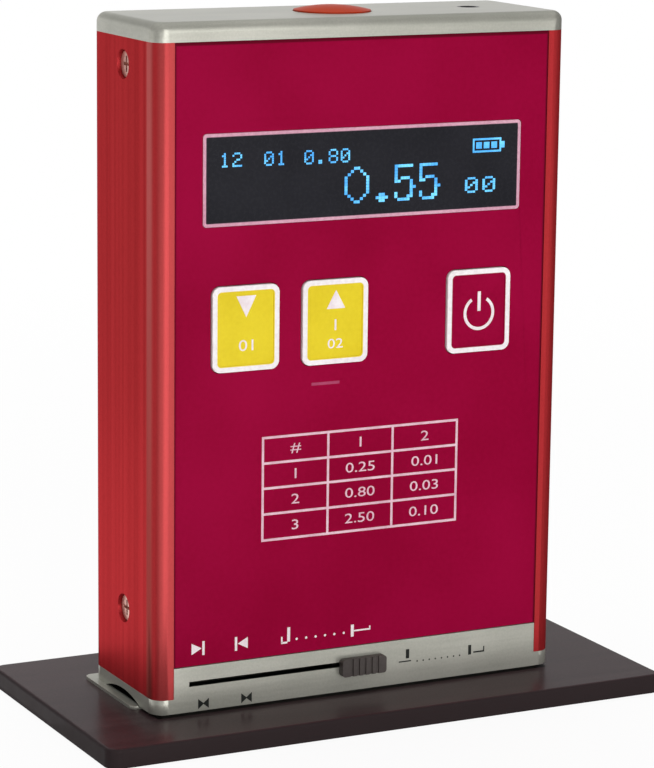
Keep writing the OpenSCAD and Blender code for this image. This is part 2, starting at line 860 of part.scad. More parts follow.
module motor_gearbox() {
    x0 = motor_plate_x[0] - gearbox_l;
    color([0.62, 0.60, 0.52]) at_drive() difference() {
        union() {
            bar_x([x0, motor_plate_x[0]], motor_dia);
            bar_x([x0, motor_plate_x[1]], nose_dia);
        }
        bar_x([motor_plate_x[0] - motor_shaft_in - seat_gap, motor_plate_x[1] + past],
            motor_shaft_dia + 2 * running_gap);
        for (side = [-1, 1]) translate([0, 0, side * motor_screw_r])
            bar_x([motor_plate_x[0] - motor_screw_hole_l, motor_plate_x[0] + past],
                motor_screw_dia + 2 * press_gap);
    }
}

module motor_screws() {
    color([0.75, 0.76, 0.78]) at_drive() for (side = [-1, 1])
        translate([motor_plate_x[1], 0, side * motor_screw_r]) rotate([0, -90, 0])
            pan_screw(motor_screw_dia, motor_screw_head_dia, motor_screw_head_t, motor_screw_l);
}

module motor_shaft() {
    color([0.80, 0.81, 0.82]) at_drive()
        bar_x([motor_plate_x[0] - motor_shaft_in, coupling_mid], motor_shaft_dia);
}

module screw_coupling() {
    color([0.70, 0.55, 0.25]) at_drive() difference() {
        bar_x(coupling_x, coupling_dia);
        bar_x([coupling_x[0] - past, coupling_mid], motor_shaft_dia + 2 * press_gap);
        bar_x([coupling_mid, coupling_x[1] + past], journal_dia + 2 * press_gap);
    }
}

module lead_screw() {
    color([0.78, 0.79, 0.80]) at_drive() {
        bar_x(screw_x, screw_dia);
        bar_x([coupling_mid, right_plate_x[1] + journal_end], journal_dia);
    }
}

// Flanged bush in a plate between x limits, with its flange between flange_x limits.
module screw_bush(x, flange_x) {
    difference() {
        union() {
            bar_x(x, bush_dia);
            bar_x(flange_x, bush_flange_dia);
        }
        bar_x([x[0] - past, x[1] + past], journal_dia + 2 * running_gap);
    }
}

module screw_bushes() {
    color([0.72, 0.50, 0.22]) at_drive() {
        screw_bush(left_plate_x, [left_plate_x[1], left_plate_x[1] + bush_flange_t]);
        screw_bush(right_plate_x, [right_plate_x[0] - bush_flange_t, right_plate_x[0]]);
    }
}

module guide_rods() {
    color([0.82, 0.83, 0.84]) for (z = rod_zs) translate([0, rod_line_y, z])
        bar_x([left_plate_x[0] - rod_end, right_plate_x[1] + rod_end], rod_dia);
}

module limit_switches() {
    color([0.12, 0.12, 0.13]) {
        span_box([left_plate_x[1], carriage_x[0] - limit_gap], limit_y, limit_z);
        span_box([carriage_x[1] + traverse + limit_gap, right_plate_x[0]], limit_y, limit_z);
    }
}

module carriage() {
    span_x = [carriage_x[0] - past, carriage_x[1] + past];
    color([0.16, 0.16, 0.18]) difference() {
        union() {
            span_box(carriage_x, [carriage_front, carriage_back], carriage_z);
            span_box(carriage_x, [-ear_out, carriage_back], [carriage_z[0], carriage_z[0] + shelf_t]);
            for (side = [0, 1]) mirror([0, side, 0])
                span_box([carriage_x[0], carriage_x[0] + ear_l], [ear_out - ear_t, ear_out],
                    [ear_z0, carriage_z[0] + shelf_t]);
        }
        at_drive() bar_x(span_x, screw_dia + 2 * screw_room);
        at_drive() bar_x([span_x[0], carriage_x[0] + nut_l], nut_dia + 2 * press_gap);
        for (z = rod_zs) translate([0, rod_line_y, z]) bar_x(span_x, rod_dia + 2 * running_gap);
        translate([pivot_x, 0, pivot_z]) bar_y([-ear_out - past, ear_out + past], pivot_dia + 2 * press_gap);
    }
}

module carriage_nut() {
    color([0.78, 0.62, 0.28]) at_drive() difference() {
        bar_x([carriage_x[0], carriage_x[0] + nut_l], nut_dia);
        bar_x([carriage_x[0] - past, carriage_x[0] + nut_l + past], screw_dia + 2 * running_gap);
    }
}

// Pickup

module pickup_pin() {
    color([0.80, 0.81, 0.82]) translate([pivot_x, 0, pivot_z]) bar_y([-ear_out, ear_out], pivot_dia);
}

module pickup_housing() {
    pin_y = [-pickup_half - past, pickup_half + past];
    color([0.66, 0.67, 0.69]) difference() {
        union() {
            span_box(pickup_x, [-pickup_half, pickup_half], pickup_z);
            for (side = [0, 1]) mirror([0, side, 0])
                span_box([lever_x - lever_ear_l / 2, lever_x + lever_ear_l / 2],
                    [lever_half + lever_ear_gap, lever_ear_half], [lever_ear_z0, pickup_z[0] + past]);
        }
        translate([pivot_x, 0, pivot_z]) bar_y(pin_y, pivot_dia + 2 * running_gap);
        translate([lever_x, 0, lever_z]) bar_y(pin_y, lever_pin_dia + 2 * press_gap);
    }
}

module skid() {
    color([0.75, 0.20, 0.25]) translate([skid_x, 0, skid_z + skid_dia / 2]) {
        cylinder(d = skid_dia, h = pickup_z[0] - skid_z - skid_dia / 2);
        sphere(d = skid_dia);
    }
}

module stylus_pin() {
    color([0.80, 0.81, 0.82]) translate([lever_x, 0, lever_z])
        bar_y([-lever_ear_half, lever_ear_half], lever_pin_dia);
}

module stylus_lever() {
    lever_y = [-lever_half, lever_half];
    color([0.80, 0.81, 0.82]) difference() {
        union() {
            span_box([lever_x, lever_x1], lever_y, [lever_z - lever_h / 2, lever_z + lever_h / 2]);
            translate([lever_x, 0, lever_z]) bar_y(lever_y, lever_boss_dia);
        }
        translate([lever_x, 0, lever_z]) bar_y([-past, past], lever_pin_dia + 2 * running_gap);
    }
}

module stylus_tip() {
    shank_h = lever_z - lever_h / 2 - tip_z - tip_cone_h;
    color([0.88, 0.88, 0.92]) translate([tip_x, 0, tip_z]) {
        cylinder(d1 = tip_point_dia, d2 = tip_shank_dia, h = tip_cone_h);
        translate([0, 0, tip_cone_h]) cylinder(d = tip_shank_dia, h = shank_h);
    }
}

base_plate();
standing() body_shell();
standing() top_cap();
standing() bottom_cap();
standing() front_overlay();
standing() display_window();
standing() display_gasket();
standing() display_module();
standing() display_connector();
standing() key_down();
standing() key_up();
standing() key_power();
standing() key_domes();
standing() main_board();
standing() board_components();
standing() battery_cell();
standing() battery_pad();
standing() start_button();
standing() switch_plunger();
standing() start_switch();
standing() switch_board();
standing() switch_board_screws();
standing() charge_socket();
standing() shutter_knob();
standing() shutter_plate();
standing() drive_frame();
standing() frame_screws();
standing() drive_motor();
standing() motor_gearbox();
standing() motor_screws();
standing() motor_shaft();
standing() screw_coupling();
standing() lead_screw();
standing() screw_bushes();
standing() guide_rods();
standing() limit_switches();
standing() carriage();
standing() carriage_nut();
standing() pickup_pin();
standing() pickup_housing();
standing() skid();
standing() stylus_pin();
standing() stylus_lever();
standing() stylus_tip();
standing() side_screws();
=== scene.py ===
import math

import bpy
import numpy as np
from mathutils import Matrix, Vector


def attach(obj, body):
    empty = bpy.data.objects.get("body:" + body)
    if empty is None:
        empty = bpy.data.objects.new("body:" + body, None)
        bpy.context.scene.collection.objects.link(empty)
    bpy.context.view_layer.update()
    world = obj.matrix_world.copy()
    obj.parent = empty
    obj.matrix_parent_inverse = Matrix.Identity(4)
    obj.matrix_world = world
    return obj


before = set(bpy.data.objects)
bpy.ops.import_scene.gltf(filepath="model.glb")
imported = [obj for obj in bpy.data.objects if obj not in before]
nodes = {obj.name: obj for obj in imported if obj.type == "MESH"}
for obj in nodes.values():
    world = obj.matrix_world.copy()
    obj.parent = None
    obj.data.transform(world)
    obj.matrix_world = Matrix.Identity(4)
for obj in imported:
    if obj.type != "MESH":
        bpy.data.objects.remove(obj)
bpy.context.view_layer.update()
mm = 0.001
corner = np.array((-36.1, -13.2, 3.0))  # front left foot corner of the tester, in mm from the plate's middle
scene = bpy.context.scene


# Shader expressions: arithmetic on a Flow adds Math nodes, and node() adds any other kind.
class Flow:
    def __init__(self, tree, socket=None):
        self.tree, self.socket = tree, socket

    # adds a node, sets or links its inputs, and gives one of its outputs
    def node(self, kind, settings=(), sockets=(), out=0):
        made = self.tree.nodes.new("ShaderNode" + kind)
        for key, value in dict(settings).items():
            setattr(made, key, value)
        for key, value in dict(sockets).items():
            if isinstance(value, Flow):
                self.tree.links.new(value.socket, made.inputs[key])
            else:
                made.inputs[key].default_value = value
        return Flow(self.tree, made.outputs[out])

    # one Math node on two values
    def sums(self, operation, *values):
        return self.node("Math", {"operation": operation}, dict(enumerate(values)))

    def __add__(self, other):
        return self.sums("ADD", self, other)

    def __radd__(self, other):
        return self.sums("ADD", other, self)

    def __sub__(self, other):
        return self.sums("SUBTRACT", self, other)

    def __rsub__(self, other):
        return self.sums("SUBTRACT", other, self)

    def __mul__(self, other):
        return self.sums("MULTIPLY", self, other)

    def __rmul__(self, other):
        return self.sums("MULTIPLY", other, self)

    def __truediv__(self, other):
        return self.sums("DIVIDE", self, other)

    def __rtruediv__(self, other):
        return self.sums("DIVIDE", other, self)

    def __abs__(self):
        return self.sums("ABSOLUTE", self)

    def __pow__(self, other):
        return self.sums("POWER", self, other)

    # the greater of two values
    def larger(self, other):
        return self.sums("MAXIMUM", self, other)

    # 0 below low, 1 above high, smooth between
    def rise(self, low, high):
        return self.node("MapRange", {"interpolation_type": "SMOOTHSTEP"},
                         {"Value": self, "From Min": low, "From Max": high})

    # colour a where the mask is 0, colour b where it is 1
    def tint(self, a, b):
        return self.node("Mix", {"data_type": "RGBA"}, {0: self, 6: a, 7: b}, 2)

    # link into a named input of a shader
    def feed(self, shader, name):
        self.tree.links.new(self.socket, shader.inputs[name])


# sRGB numbers from 0 to 255 as the linear colour that a socket takes
def ink(r, g, b):
    share = np.array((r, g, b)) / 255.0
    linear = np.where(share <= 0.04045, share / 12.92, ((share + 0.055) / 1.055) ** 2.4)
    return (*[float(v) for v in linear], 1.0)


# a new material with its fixed inputs set, and its Object coordinates
def startFinish(name, fixed):
    material = bpy.data.materials.new(name)
    material.use_nodes = True
    shader = material.node_tree.nodes["Principled BSDF"]
    for key, value in fixed.items():
        shader.inputs[key].default_value = value
    flow = Flow(material.node_tree)
    return material, shader, flow, flow.node("TexCoord", out="Object")


# noise on Object coordinates stretched by three scales, in waves per metre
def grain(flow, place, scales, detail=3.0, rough=0.55):
    stretched = flow.node("Mapping", {}, {"Vector": place, "Scale": scales})
    sockets = {"Vector": stretched, "Scale": 1.0, "Detail": detail, "Roughness": rough}
    return flow.node("TexNoise", {}, sockets)


# a normal tilted by the slope of a height, which spans distance in metres
def bump(flow, height, strength, distance):
    return flow.node("Bump", {}, {"Height": height, "Strength": strength, "Distance": distance})


# the X, Y and Z parts of a place
def axesOf(flow, place):
    split = flow.node("SeparateXYZ", {}, {"Vector": place})
    owner = split.socket.node
    return [Flow(flow.tree, owner.outputs[i]) for i in range(3)]


grainDepth = 0.00004  # metres of relief in the fine grain of most finishes


# A finish of one colour family: cloudy shade between two colours, fine grain in roughness and bump
def plainFinish(name, dark, light, fixed, roughness, cloud=(60, 60, 60), fine=(2500, 2500, 2500),
                strength=0.1):
    material, shader, flow, place = startFinish(name, fixed)
    shade = grain(flow, place, cloud)
    speck = grain(flow, place, fine, 2.0)
    (shade * 0.7 + speck * 0.3).rise(0.3, 0.7).tint(dark, light).feed(shader, "Base Color")
    (speck * (roughness[1] - roughness[0]) + roughness[0]).feed(shader, "Roughness")
    bump(flow, speck, strength, grainDepth).feed(shader, "Normal")
    return material


# puts one material on each named node
def dress(material, *names):
    for name in names:
        nodes[name].data.materials.clear()
        nodes[name].data.materials.append(material)


# pale and dull colour a painted reflection line on each side and a painted highlight on the left front edge
caseRed = {"dark": ink(158, 38, 42), "light": ink(183, 50, 54), "pale": ink(188, 100, 98),
           "dull": ink(134, 66, 61), "dullSpan": (22, 92), "edge": (0.9, 0.4, 0.41, 1),
           "streaks": (1500, 1500, 6), "bands": (560, 560, 2), "speck": (3000, 3000, 3000),
           "relief": (0.12, 0.00003), "roughness": (0.28, 0.4), "middle": -1.1, "flat": (33.6, 34.2),
           "rubAndReflection": (-10.9, 0.8), "front": (-12.9, -12.3), "highlightShare": 0.26, "highlightEnd": (0, 10)}


# Dyed metal: drawing lines run up the extrusion, a painted reflection line stands on each side by the front
# corner, dull at its foot and pale at its top, and a painted highlight makes the left front edge a little
# paler
def anodisedRed():
    material, shader, flow, place = startFinish("anodisedRed", {
        "Metallic": 0.45, "Specular IOR Level": 0.0, "Specular Tint": caseRed["edge"],
        "Coat Weight": 0.06, "Coat Roughness": 0.3})
    # noise squeezed across the extrusion and stretched along Z
    lines = grain(flow, place, caseRed["streaks"], 4.0, 0.6)
    broad = grain(flow, place, caseRed["bands"], 2.0)
    speck = grain(flow, place, caseRed["speck"], 1.0)
    x, y, z = axesOf(flow, place)
    # painted reflection: near the line in Y, and on the flat of either side in X
    level, width = caseRed["rubAndReflection"]
    near = 1 - abs(y / mm - level).rise(width * 0.5, width * 1.5)
    paintedReflection = near * abs(x / mm - caseRed["middle"]).rise(*caseRed["flat"]) * (0.5 + broad * 0.5)
    mixed = (lines * 0.35 + broad * 0.5 + speck * 0.15).rise(0.32, 0.68)
    shade = mixed.tint(caseRed["dark"], caseRed["light"])
    # painted highlight: in front of the face in Y, and left of the middle in X
    paintedHighlight = (1 - (y / mm).rise(*caseRed["front"])) * (1 - (x / mm).rise(*caseRed["highlightEnd"])) * caseRed["highlightShare"]
    # colour of the painted reflection line, dull at its foot and pale at its top
    line = (z / mm).rise(*caseRed["dullSpan"]).tint(caseRed["dull"], caseRed["pale"])
    paintedReflection.tint(paintedHighlight.tint(shade, caseRed["pale"]), line).feed(shader, "Base Color")
    low, high = caseRed["roughness"]
    (lines * (high - low) + low).feed(shader, "Roughness")
    bump(flow, lines * 0.7 + speck * 0.3, *caseRed["relief"]).feed(shader, "Normal")
    return material


capSilver = {"dark": ink(164, 164, 154), "light": ink(188, 187, 177), "roughness": (0.24, 0.36),
             "speck": (3200, 3200, 3200), "cloud": (45, 45, 90), "rubAndReflection": (60, 400, 1400), "relief": 0.16,
             "hollowShade": ink(26, 27, 25), "hollowSoft": 0.2,
             "hollows": (((-35.6, -32.5), (-7.7, 5.9), (3.3, 4.85)),  # the notch
                         ((-33.0, 31.0), (-12.9, -11.4), (7.4, 8.4)))}  # the slot


# One inside a span and nought outside it, with a soft step at both ends
def within(value, low, high, soft):
    return value.rise(low - soft, low) * (1 - value.rise(high, high + soft))


# Blasted metal with faint rubbing along X; the walls of the left notch and of the shutter's slot are painted
# dark as shade
def blastedSilver():
    fixed = {"Metallic": 0.6, "Specular IOR Level": 0.05}
    material, shader, flow, place = startFinish("blastedSilver", fixed)
    speck = grain(flow, place, capSilver["speck"])
    cloud = grain(flow, place, capSilver["cloud"], 2.0)
    rubAndReflection = grain(flow, place, capSilver["rubAndReflection"])
    x, y, z = axesOf(flow, place)
    soft = capSilver["hollowSoft"]
    # painted shade in each hollow; each hollow is a box: the product of its spans along X, Y and Z
    hollowShade = sum(within(x / mm, *spanX, soft) * within(y / mm, *spanY, soft) * within(z / mm, *spanZ, soft)
                 for spanX, spanY, spanZ in capSilver["hollows"])
    mixed = (cloud * 0.55 + speck * 0.25 + rubAndReflection * 0.2).rise(0.3, 0.7)
    metal = mixed.tint(capSilver["dark"], capSilver["light"])
    hollowShade.tint(metal, capSilver["hollowShade"]).feed(shader, "Base Color")
    low, high = capSilver["roughness"]
    (speck * 0.5 * (high - low) + cloud * 0.5 * (high - low) + low).feed(shader, "Roughness")
    bump(flow, speck, capSilver["relief"], grainDepth).feed(shader, "Normal")
    return material


film = {"dark": ink(139, 2, 46), "light": ink(154, 6, 57), "edgeShade": ink(96, 6, 30), "roughness": (0.36, 0.46),
        "halfWidth": 31.75, "middle": -1.1, "edgeShadeWidth": 0.45, "top": 106.0, "shadeHeight": 0.6,
        "cloud": (35, 35, 35), "peel": (1300, 1300, 1300), "relief": 0.06}


# Printed film: the colour clouds a little, and its edge falls into shade at both sides and under the top cap
def crimsonFilm():
    material, shader, flow, place = startFinish("crimsonFilm", {"Specular IOR Level": 0.02})
    cloud = grain(flow, place, film["cloud"], 2.0)
    peel = grain(flow, place, film["peel"], 2.0)
    x, y, z = axesOf(flow, place)
    # painted shade along both side edges of the film and under the top cap
    sides = abs(x / mm - film["middle"]).rise(film["halfWidth"] - film["edgeShadeWidth"], film["halfWidth"])
    shadeStart = film["top"] - film["shadeHeight"]
    shadeEnd = film["top"] - film["shadeHeight"] * 0.6
    edge = sides.larger((z / mm).rise(shadeStart, shadeEnd))
    body = (cloud * 0.75 + peel * 0.25).rise(0.3, 0.7).tint(film["dark"], film["light"])
    edge.tint(body, film["edgeShade"]).feed(shader, "Base Color")
    low, high = film["roughness"]
    (peel * (high - low) + low).feed(shader, "Roughness")
    bump(flow, peel, film["relief"], grainDepth).feed(shader, "Normal")
    return material


faceGrain = {"cloud": (90, 90, 90), "peel": (1600, 1600, 1600), "relief": 0.06, "blur": 0.07, "spread": 0.1}


# A key or the window: a field with a printed border. The border starts where the point, taken from the
# middle in X and Z, leaves a box with rounded corners: the root of both squared excesses, less the
# corner's radius.
def borderedFace(name, middle, size, line, bend, field, border, fixed, roughness):
    material, shader, flow, place = startFinish(name, fixed)
    x, y, z = axesOf(flow, place)
    cloud = grain(flow, place, faceGrain["cloud"], 2.0)
    peel = grain(flow, place, faceGrain["peel"], 2.0)
    across = (abs(x / mm - middle[0]) - (size[0] / 2 - line - bend)).larger(0.0)
    up = (abs(z / mm - middle[1]) - (size[1] / 2 - line - bend)).larger(0.0)
    mask = ((across * across + up * up) ** 0.5 - bend).rise(-faceGrain["blur"], faceGrain["blur"])
    inner = (cloud * 0.7 + peel * 0.3).rise(0.3, 0.7).tint(*field)
    outer = (cloud * 0.5 + peel * 0.5).rise(0.3, 0.7).tint(*border)
    mask.tint(inner, outer).feed(shader, "Base Color")
    low, high = roughness
    (peel * faceGrain["spread"] + low + mask * (high - low)).feed(shader, "Roughness")
    bump(flow, peel, faceGrain["relief"], grainDepth).feed(shader, "Normal")
    return material


whitePair = (ink(236, 226, 228), ink(250, 246, 247))
yellowPair = (ink(222, 197, 16), ink(232, 209, 32))
filmPair = (film["dark"], film["light"])
darkPair = (ink(22, 22, 28), ink(31, 31, 37))
rosePair = (ink(202, 146, 167), ink(222, 172, 190))

windowFace = {"middle": (-1.1, 85.35), "size": (54.3, 14.0), "line": 0.5, "bend": 0.2,
              "roughness": (0.22, 0.35),
              "fixed": {"Specular IOR Level": 0.1, "Coat Weight": 0.04, "Coat Roughness": 0.1}}
# each key: its node, its middle in X, its field and its shine
keyFace = {"size": (11.1, 13.1), "line": 0.77, "bend": 0.7, "level": 62.7, "roughness": (0.36, 0.4),
           "keys": (("key_down", -21.2, yellowPair, 0.2), ("key_up", -6.1, yellowPair, 0.2),
                    ("key_power", 19.0, filmPair, 0.02))}

# the edge colour is painted shade on the side faces, and the darkest colour is painted shade beneath the
# tester
plateInk = {"dark": ink(47, 35, 37), "light": ink(64, 49, 51), "edge": ink(46, 38, 39), "polish": 0.36,
            "under": ink(14, 10, 10), "underX": (-35.3, 33.1), "underY": (-13.0, 10.2), "underSoft": 0.3,
            "roughness": (0.4, 0.55), "shoulder": (2.86, 2.98), "streak": (18, 420, 420),
            "cloud": (22, 30, 30), "speck": (2600, 2600, 2600), "relief": (0.12, 0.00005)}


# Stand plate: long streaks along X over fine grain, with painted shade on the side faces below the shoulder,
# and a matt black field of painted shade under the tester
def darkPlate():
    fixed = {"Specular IOR Level": 0.03, "Coat Roughness": 0.24}
    material, shader, flow, place = startFinish("darkPlate", fixed)
    streak = grain(flow, place, plateInk["streak"], 4.0)
    cloud = grain(flow, place, plateInk["cloud"], 2.0)
    speck = grain(flow, place, plateInk["speck"], 2.0)
    x, y, z = axesOf(flow, place)
    mixed = (streak * 0.4 + cloud * 0.35 + speck * 0.25).rise(0.3, 0.72)
    face = mixed.tint(plateInk["dark"], plateInk["light"])
    # painted shade: the side faces below the shoulder take the darker edge colour
    upper = (z / mm).rise(*plateInk["shoulder"])
    # painted shade under the tester, matt and nearly black where the foot's gap shows the plate
    soft = plateInk["underSoft"]
    under = within(x / mm, *plateInk["underX"], soft) * within(y / mm, *plateInk["underY"], soft)
    upper.tint(plateInk["edge"], under.tint(face, plateInk["under"])).feed(shader, "Base Color")
    (upper * (1 - under) * plateInk["polish"] * (0.7 + streak * 0.6)).feed(shader, "Coat Weight")
    low, high = plateInk["roughness"]
    (streak * (high - low) + low).feed(shader, "Roughness")
    bump(flow, streak * 0.4 + speck * 0.6, *plateInk["relief"]).feed(shader, "Normal")
    return material


dress(anodisedRed(), "body_shell")
dress(blastedSilver(), "top_cap", "bottom_cap")
dress(crimsonFilm(), "front_overlay")
dress(darkPlate(), "base_plate")
dress(borderedFace("windowFace", windowFace["middle"], windowFace["size"], windowFace["line"],
                   windowFace["bend"], darkPair, rosePair, windowFace["fixed"], windowFace["roughness"]),
      "display_window")
for node, x, field, shine in keyFace["keys"]:
    dress(borderedFace(node + "Face", (x, keyFace["level"]), keyFace["size"], keyFace["line"],
                       keyFace["bend"], field, whitePair, {"Specular IOR Level": shine},
                       keyFace["roughness"]), node)
dress(plainFinish("orangeButton", ink(158, 44, 12), ink(176, 57, 20), {"Specular IOR Level": 0.06},
                  (0.32, 0.42)), "start_button")
dress(plainFinish("darkKnob", ink(60, 54, 52), ink(78, 71, 68), {"Specular IOR Level": 0.3}, (0.42, 0.55),
                  strength=0.2), "shutter_knob")
dress(plainFinish("socketBlack", ink(18, 18, 19), ink(34, 34, 35), {}, (0.3, 0.42)), "charge_socket")
steel = plainFinish("brightSteel", ink(176, 172, 166), ink(206, 203, 198), {"Metallic": 0.9}, (0.25, 0.38),
                    fine=(900, 900, 3000))
dress(steel, "switch_board_screws", "frame_screws", "motor_screws", "motor_shaft", "lead_screw",
      "guide_rods", "pickup_pin", "stylus_pin", "stylus_lever", "key_domes", "shutter_plate",
      "drive_motor", "pickup_housing")
dress(plainFinish("screwHeads", ink(196, 146, 134), ink(224, 178, 164), {"Metallic": 0.6}, (0.25, 0.38)),
      "side_screws")
dress(plainFinish("greenBoard", ink(16, 84, 50), ink(26, 104, 62), {"Coat Weight": 0.3}, (0.4, 0.5)),
      "main_board", "switch_board")
dress(plainFinish("blackParts", ink(22, 22, 24), ink(40, 40, 42), {}, (0.4, 0.55)),
      "board_components", "display_connector", "start_switch", "limit_switches", "carriage")
dress(plainFinish("glassBlack", ink(9, 9, 13), ink(20, 20, 25), {}, (0.08, 0.16)), "display_module")
dress(plainFinish("foamSeal", ink(36, 36, 37), ink(54, 54, 55), {}, (0.8, 0.95), strength=0.4),
      "display_gasket", "battery_pad")
dress(plainFinish("cellWrap", ink(44, 82, 148), ink(60, 102, 172), {"Coat Weight": 0.2}, (0.3, 0.4)),
      "battery_cell")
dress(plainFinish("creamPlunger", ink(214, 206, 184), ink(228, 221, 202), {}, (0.4, 0.5)), "switch_plunger")
dress(plainFinish("frameGrey", ink(138, 140, 144), ink(164, 166, 170), {"Metallic": 0.7}, (0.4, 0.52)),
      "drive_frame")
dress(plainFinish("turnedBrass", ink(182, 148, 78), ink(206, 174, 104), {"Metallic": 0.9}, (0.25, 0.36)),
      "screw_bushes", "carriage_nut", "screw_coupling", "motor_gearbox")
dress(plainFinish("rubySkid", ink(150, 14, 36), ink(184, 30, 54), {"Coat Weight": 0.5}, (0.1, 0.2)), "skid")
dress(plainFinish("palePoint", ink(214, 220, 224), ink(236, 240, 244), {"Coat Weight": 0.6}, (0.08, 0.16)),
      "stylus_tip")
print("finishes:", len(bpy.data.materials))


# Thin printed shapes. Outlines are in mm, X from the tester's left side and Z from its foot, counterclockwise
# from the front; a slab runs from depth y0 back to y1, measured from the front of the case.

# each corner of a closed outline, and the one after it
def around(n):
    i = np.arange(n)
    return i, (i + 1) % n


# front face, turned back face, and a wall on every edge
def slab(outline, y0, y1):
    outline = np.asarray(outline, float)
    n = len(outline)
    i, j = around(n)
    points = np.concatenate([np.insert(outline, 1, y, axis=1) for y in (y0, y1)])
    walls = np.stack([i, i + n, j + n, j], 1).tolist()
    return points, [i.tolist(), (i[::-1] + n).tolist()] + walls


# a ring between two outlines with the same number of points
def band(outer, inner, y0, y1):
    n = len(outer)
    i, j = around(n)
    rings = [np.insert(np.asarray(r, float), 1, y, axis=1) for y in (y0, y1) for r in (outer, inner)]
    quads = [(i, j, j + n, i + n), (i + 2 * n, i + 3 * n, j + 3 * n, j + 2 * n),
             (i, i + 2 * n, j + 2 * n, j), (i + n, j + n, j + 3 * n, i + 3 * n)]
    return np.concatenate(rings), np.concatenate([np.stack(q, 1) for q in quads]).tolist()


# four corners of an upright box
def boxOutline(x0, x1, z0, z1):
    return [(x0, z0), (x1, z0), (x1, z1), (x0, z1)]


# points at even angles round a middle
def disc(x, z, r, n=10):
    turn = np.linspace(0, 2 * math.pi, n, endpoint=False)
    return np.stack([x + r * np.cos(turn), z + r * np.sin(turn)], 1)


# part of a ring, from one angle round to another in degrees
def arc(x, z, r0, r1, start, end, n=40):
    turn = np.radians(np.linspace(start, end, n))
    out = np.stack([x + r1 * np.cos(turn), z + r1 * np.sin(turn)], 1)
    back = np.stack([x + r0 * np.cos(turn[::-1]), z + r0 * np.sin(turn[::-1])], 1)
    return np.concatenate([out, back])


# the same square slab at every lit place of a dot pattern
def dots(rows, x0, z1, pitchX, pitchZ, fill, y0, y1):
    lit = np.array([[c == "#" for c in row] for row in rows])
    down, right = np.nonzero(lit)
    unit, faces = slab(boxOutline(0, pitchX * fill, -pitchZ * fill, 0), y0, y1)
    shift = np.stack([x0 + right * pitchX, np.zeros(len(right)), z1 - down * pitchZ], 1)
    points = (unit[None] + shift[:, None]).reshape(-1, 3)
    return points, [[v + k * len(unit) for v in face] for k in range(len(shift)) for face in faces]


# printed figures: flat text made a mesh, scaled to a height and centred on a point
def figures(text, height, x, z, y0, y1, widen):
    curve = bpy.data.curves.new("figures", "FONT")
    curve.body, curve.extrude, curve.resolution_u = text, 0.01, 4
    holder = bpy.data.objects.new("figures", curve)
    scene.collection.objects.link(holder)
    bpy.context.view_layer.update()
    flat = bpy.data.meshes.new_from_object(holder.evaluated_get(bpy.context.evaluated_depsgraph_get()))
    raw = np.zeros(len(flat.vertices) * 3)
    flat.vertices.foreach_get("co", raw)
    raw = raw.reshape(-1, 3)
    low, high = raw.min(0), raw.max(0)
    scale = height / (high[1] - low[1])
    middle = (low + high) / 2
    points = np.stack([x + (raw[:, 0] - middle[0]) * scale * widen,
                       y0 + (high[2] - raw[:, 2]) / (high[2] - low[2]) * (y1 - y0),
                       z + (raw[:, 1] - middle[1]) * scale], 1)
    faces = [list(face.vertices) for face in flat.polygons]
    bpy.data.objects.remove(holder)
    bpy.data.meshes.remove(flat)
    return points, faces


# joins shapes into one mesh with its place in its points
def addPiece(name, shapes, material, body):
    points, faces, base = [], [], 0
    for shape, sides in shapes:
        points.append(shape)
        faces += [[v + base for v in side] for side in sides]
        base += len(shape)
    mesh = bpy.data.meshes.new(name)
    mesh.from_pydata(((np.concatenate(points) + corner) * mm).tolist(), [], faces)
    mesh.validate()
    mesh.materials.append(material)
    piece = bpy.data.objects.new(name, mesh)
    scene.collection.objects.link(piece)
    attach(piece, body)
    return piece


# flat print: a plain finish with finer clouds and little relief
def printFinish(name, dark, light):
    return plainFinish(name, dark, light, {"Specular IOR Level": 0.2}, (0.4, 0.5), cloud=(400, 400, 400),
                       strength=0.05)


whitePrint = printFinish("whitePrint", ink(232, 216, 220), ink(248, 240, 242))
pinkPrint = printFinish("pinkPrint", ink(214, 168, 184), ink(234, 200, 212))
dimPrint = printFinish("dimPrint", ink(158, 52, 90), ink(176, 66, 104))
blackPrint = printFinish("blackPrint", ink(18, 20, 18), ink(34, 36, 33))


glowBlue = {"dark": ink(54, 150, 222), "light": ink(104, 200, 246), "cloud": (300, 300, 300), "strength": 0.5}


# Glowing dots of the display: colour clouds between two blues, in the base and in the emission
def glowFinish():
    fixed = {"Emission Strength": glowBlue["strength"], "Roughness": 0.4}
    material, shader, flow, place = startFinish("blueGlow", fixed)
    cloud = grain(flow, place, glowBlue["cloud"], 2.0)
    blue = cloud.rise(0.35, 0.65).tint(glowBlue["dark"], glowBlue["light"])
    blue.feed(shader, "Base Color")
    blue.feed(shader, "Emission Color")
    return material


# backs of the print on the film, the keys and the apron, its thickness, and a step where shapes cross
filmY, keyY, apronY, thin, step = 0.1, -0.18, 0.0, 0.02, 0.002

digitDots = {
    "0": [".###.", "#...#", "#..##", "#.#.#", "##..#", "#...#", ".###."],
    "1": ["..#..", ".##..", "..#..", "..#..", "..#..", "..#..", ".###."],
    "2": [".###.", "#...#", "....#", "..##.", ".#...", "#....", "#####"],
    "5": ["#####", "#....", "####.", "....#", "....#", "#...#", ".###."],
    "8": [".###.", "#...#", "#...#", ".###.", "#...#", "#...#", ".###."],
    ".": [".....", ".....", ".....", ".....", ".....", ".##..", ".##.."],
}
# tall figures of the main reading, drawn on a finer pattern
tallDots = {
    "0": ["...##...", "..#..#..", ".#....#.", "#......#", "#......#", "#......#",
          "#......#", "#......#", "#......#", ".#....#.", "..#..#..", "...##..."],
    "5": ["######..", "#.......", "#.......", "#.......", "#.###...", "##...#..",
          ".....#..", ".....##.", ".....#..", "#....#..", "#...##..", ".####..."],
    ".": ["........"] * 9 + ["...##...", "..####..", "...##..."],
}

